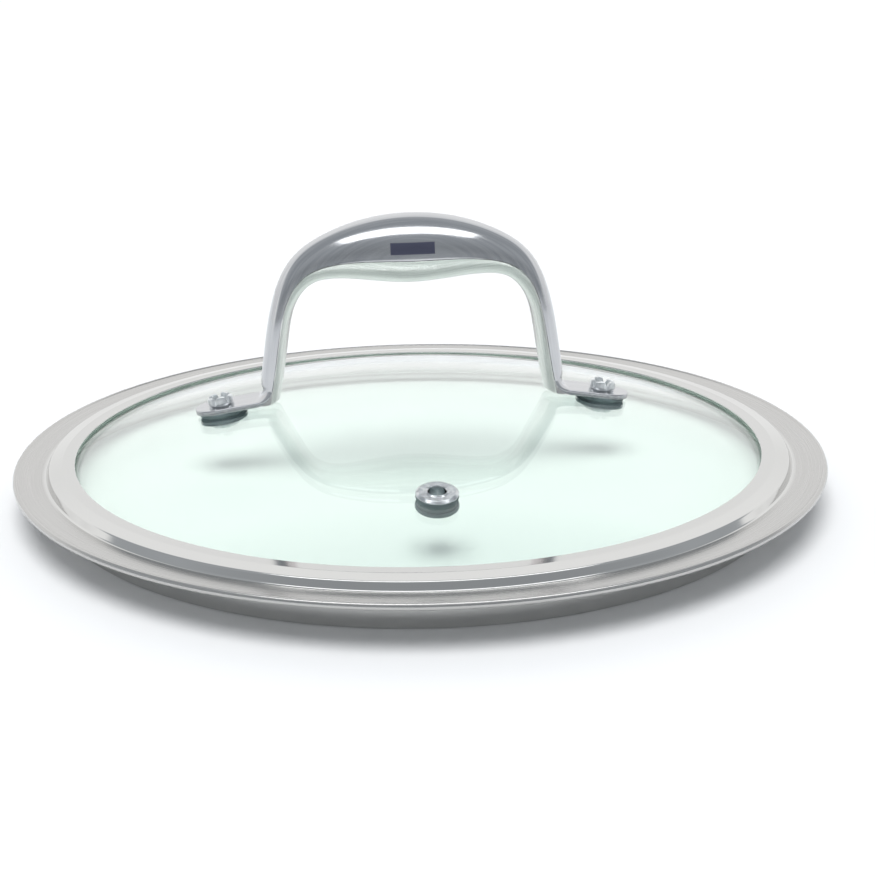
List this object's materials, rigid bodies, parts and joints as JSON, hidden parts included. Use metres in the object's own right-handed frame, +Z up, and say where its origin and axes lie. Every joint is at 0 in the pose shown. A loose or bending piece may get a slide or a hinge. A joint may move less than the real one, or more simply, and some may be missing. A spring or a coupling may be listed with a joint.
{
  "type": "saucepan lid",
  "caption": "Round domed glass pan lid with a wide folded steel rim, a riveted hollow arch handle and a steam vent eyelet.",
  "frame": {"origin": "on the lid's axis at the foot of the skirt, the plane the lid stands on", "axes": "+Z up along the lid's axis, X along the handle, -Y towards the steam vent"},
  "size_m": [0.196, 0.196, 0.0641],
  "materials": {
    "glass": "clear tempered soda-lime glass with a faint green tint",
    "rim_steel": "satin stainless steel, polished on the bead",
    "handle_steel": "polished stainless steel with a fine lengthwise grain",
    "fastener_steel": "bright stainless steel",
    "seal_silicone": "matt translucent grey silicone",
    "washer_silicone": "matt blue-grey silicone"
  },
  "bodies": {
    "root": {"glass_dome": "glass", "rim_band": "rim_steel", "rim_seal": "seal_silicone", "handle_top_shell": "handle_steel", "handle_bottom_shell": "handle_steel", "vent_eyelet": "fastener_steel", "vent_seal": "washer_silicone", "vent_collar": "fastener_steel", "rivet_left": "fastener_steel", "rivet_bush_left": "washer_silicone", "upper_washer_left": "washer_silicone", "lower_washer_left": "washer_silicone", "backing_washer_left": "fastener_steel", "rivet_right": "fastener_steel", "rivet_bush_right": "washer_silicone", "upper_washer_right": "washer_silicone", "lower_washer_right": "washer_silicone", "backing_washer_right": "fastener_steel"}
  },
  "joints": []
}
